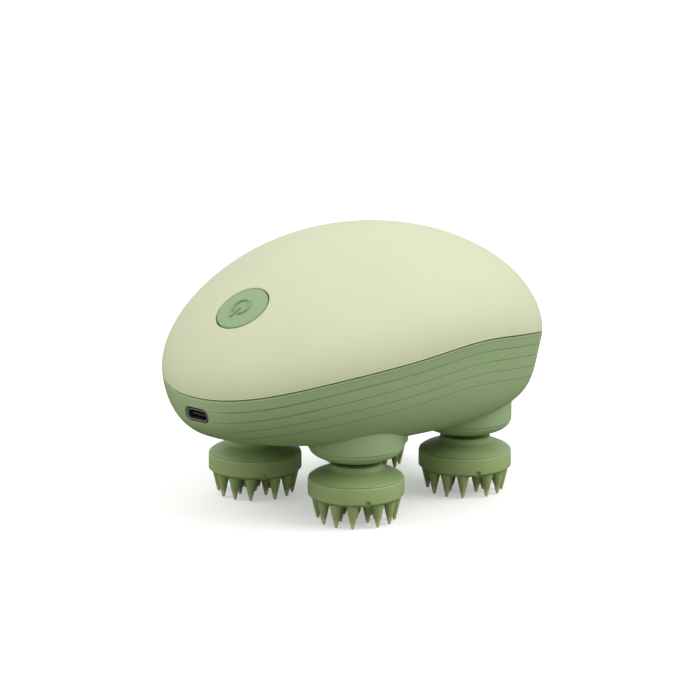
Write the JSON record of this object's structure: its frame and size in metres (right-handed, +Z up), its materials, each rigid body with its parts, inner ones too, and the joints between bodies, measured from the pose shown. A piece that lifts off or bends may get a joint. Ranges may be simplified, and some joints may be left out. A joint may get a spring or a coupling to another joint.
{
  "type": "electric scalp massager",
  "caption": "Palm-sized electric scalp massager: a smooth egg-shaped grip over turning heads with soft claws, with a round power button and a charging port on the nose.",
  "frame": {"origin": "on the floor under the middle of the grip, at the height of the claw tips", "axes": "+X from the nose with the charging port to the tail, +Z up from the claws to the crown, +Y to the left of someone looking along +X"},
  "size_m": [0.133, 0.1052, 0.0868],
  "materials": {
    "cream_shell": "soft-touch",
    "green_shell": "soft-touch",
    "button_green": "satin",
    "silicone": "satin",
    "hub_plastic": "satin",
    "dark_seal": "matte",
    "steel": "satin",
    "bright_steel": "satin",
    "nickel": "satin",
    "bronze": "satin",
    "battery_can": "wrapped",
    "black_plastic": "matte",
    "white_plastic": "satin",
    "circuit_board": "solder mask",
    "gearbox_plastic": "satin",
    "gear_plastic": "satin",
    "magnet": "sintered",
    "rotor_iron": "laminated"
  },
  "bodies": {
    "grip": {"lower_shell": "green_shell", "top_cover": "cream_shell", "housing_gasket": "dark_seal", "housing_screws": "steel", "screw_plugs": "green_shell", "tact_switch": "black_plastic", "button_board": "circuit_board", "button_board_screws": "steel", "charge_board": "circuit_board", "charge_board_parts": "black_plastic", "battery_socket": "white_plastic", "charge_board_screws": "steel", "usb_shell": "bright_steel", "usb_tongue": "black_plastic", "port_gasket": "dark_seal", "battery_cell": "battery_can", "battery_tabs": "nickel", "battery_cradle": "black_plastic", "gearbox_base": "gearbox_plastic", "gearbox_cover": "gearbox_plastic", "gearbox_screws": "steel", "lower_bushes": "bronze", "upper_bushes": "bronze", "shaft_seals": "dark_seal", "central_pin": "steel", "reduction_pin": "steel", "motor_can": "bright_steel", "motor_end_cap": "black_plastic", "motor_terminals": "bronze", "motor_magnets": "magnet", "motor_screws": "steel"},
    "button": {"power_button": "button_green", "button_seal": "dark_seal", "switch_plunger": "white_plastic"},
    "central_wheel": {"central_gear": "gear_plastic"},
    "reducer": {"reduction_wheel": "gear_plastic"},
    "motor_armature": {"motor_rotor": "rotor_iron", "motor_shaft": "steel", "motor_pinion": "bronze"},
    "head_nose_left": {"claw_cap_nose_left": "silicone", "head_hub_nose_left": "hub_plastic", "output_shaft_nose_left": "steel", "output_gear_nose_left": "gear_plastic", "shaft_clip_nose_left": "steel"},
    "head_nose_right": {"claw_cap_nose_right": "silicone", "head_hub_nose_right": "hub_plastic", "output_shaft_nose_right": "steel", "output_gear_nose_right": "gear_plastic", "shaft_clip_nose_right": "steel"},
    "head_tail_left": {"claw_cap_tail_left": "silicone", "head_hub_tail_left": "hub_plastic", "output_shaft_tail_left": "steel", "output_gear_tail_left": "gear_plastic", "shaft_clip_tail_left": "steel"},
    "head_tail_right": {"claw_cap_tail_right": "silicone", "head_hub_tail_right": "hub_plastic", "output_shaft_tail_right": "steel", "output_gear_tail_right": "gear_plastic", "shaft_clip_tail_right": "steel"}
  },
  "joints": [
    {"name": "power_button_press", "type": "slide", "parent": "grip", "child": "button", "axis": [0.5705, 0, -0.8213], "range_m": [0, 0.0005], "stiffness_N_per_m": 1200, "springref_m": -0.0005},
    {"name": "motor_spin", "type": "hinge", "parent": "grip", "child": "motor_armature", "pos_m": [0.0148, 0, 0.05], "axis": [0, 0, 1], "continuous": true},
    {"name": "reducer_spin", "type": "hinge", "parent": "grip", "child": "reducer", "pos_m": [0.0308, 0, 0.04], "axis": [0, 0, 1], "continuous": true},
    {"name": "central_spin", "type": "hinge", "parent": "grip", "child": "central_wheel", "pos_m": [0.0048, 0, 0.035], "axis": [0, 0, 1], "continuous": true},
    {"name": "nose_left_spin", "type": "hinge", "parent": "grip", "child": "head_nose_left", "pos_m": [-0.02035, 0.02288, 0.02], "axis": [0, 0, 1], "continuous": true},
    {"name": "nose_right_spin", "type": "hinge", "parent": "grip", "child": "head_nose_right", "pos_m": [-0.02035, -0.02288, 0.02], "axis": [0, 0, 1], "continuous": true},
    {"name": "tail_left_spin", "type": "hinge", "parent": "grip", "child": "head_tail_left", "pos_m": [0.02995, 0.02288, 0.02], "axis": [0, 0, 1], "continuous": true},
    {"name": "tail_right_spin", "type": "hinge", "parent": "grip", "child": "head_tail_right", "pos_m": [0.02995, -0.02288, 0.02], "axis": [0, 0, 1], "continuous": true}
  ],
  "couplings": [
    {"joint": "reducer_spin", "follows": "motor_spin", "ratio": -0.18519},
    {"joint": "central_spin", "follows": "motor_spin", "ratio": 0.03367},
    {"joint": "nose_left_spin", "follows": "motor_spin", "ratio": -0.061728},
    {"joint": "nose_right_spin", "follows": "motor_spin", "ratio": -0.061728},
    {"joint": "tail_left_spin", "follows": "motor_spin", "ratio": -0.061728},
    {"joint": "tail_right_spin", "follows": "motor_spin", "ratio": -0.061728}
  ]
}
